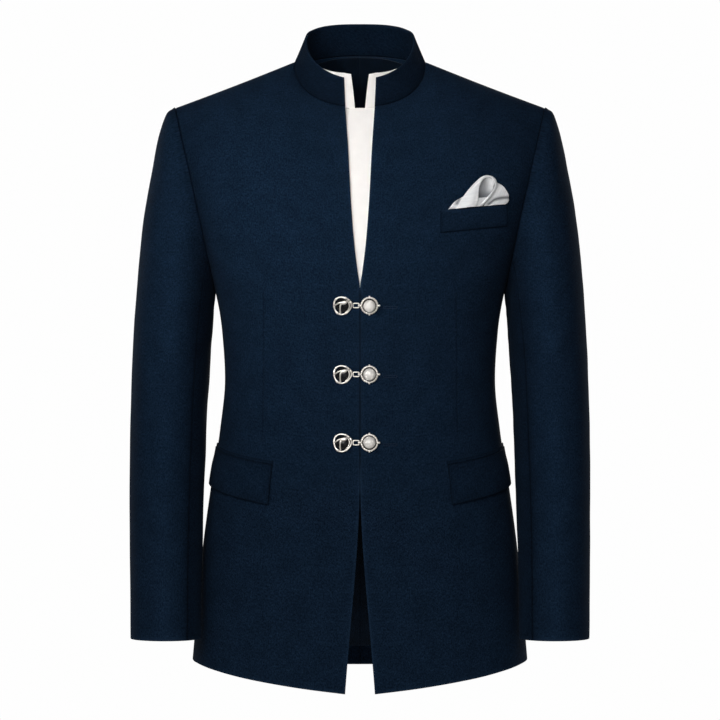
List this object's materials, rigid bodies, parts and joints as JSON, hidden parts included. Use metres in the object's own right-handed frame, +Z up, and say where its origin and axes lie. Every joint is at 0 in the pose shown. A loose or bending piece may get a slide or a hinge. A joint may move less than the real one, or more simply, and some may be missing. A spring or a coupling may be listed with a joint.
{
  "type": "jodhpuri suit jacket",
  "caption": "Navy wool stand-collar jacket worn filled out, open at the neck over a white insert, with pearl chain clasps, flapped hip pockets and a breast pocket square.",
  "frame": {"origin": "middle of the neck, level with the two points where the collar seam crosses the shoulder seams", "axes": "+X towards the wearer's left side, -Y the way the front faces, +Z up the body"},
  "size_m": [0.5498, 0.2561, 0.7993],
  "materials": {
    "wool": "fine napped navy wool suiting, matt",
    "cotton": "smooth white cotton, pressed",
    "lining": "dark navy satin lining, soft sheen",
    "silk": "silver-grey silk satin, lustrous",
    "silver": "cast silver-tone metal, polished high spots over dark recesses",
    "pearl": "imitation pearl, lustrous",
    "onyx": "black glass cabochon, polished"
  },
  "bodies": {
    "root": {"front_left": "wool", "front_right": "wool", "back_left": "wool", "back_right": "wool", "top_sleeve_left": "wool", "top_sleeve_right": "wool", "under_sleeve_left": "wool", "under_sleeve_right": "wool", "collar_stand": "wool", "white_band_left": "cotton", "white_band_right": "cotton", "bib": "cotton", "bib_underlay": "cotton", "back_lining_left": "lining", "back_lining_right": "lining", "flap_left": "wool", "flap_right": "wool", "pocket_jet_left": "wool", "pocket_jet_right": "wool", "breast_welt": "wool", "pocket_square": "silk", "clasp_upper_cage": "silver", "clasp_upper_dome": "onyx", "clasp_upper_bezel": "silver", "clasp_upper_pearl": "pearl", "clasp_upper_link": "silver", "clasp_middle_cage": "silver", "clasp_middle_dome": "onyx", "clasp_middle_bezel": "silver", "clasp_middle_pearl": "pearl", "clasp_middle_link": "silver", "clasp_lower_cage": "silver", "clasp_lower_dome": "onyx", "clasp_lower_bezel": "silver", "clasp_lower_pearl": "pearl", "clasp_lower_link": "silver"}
  },
  "joints": []
}
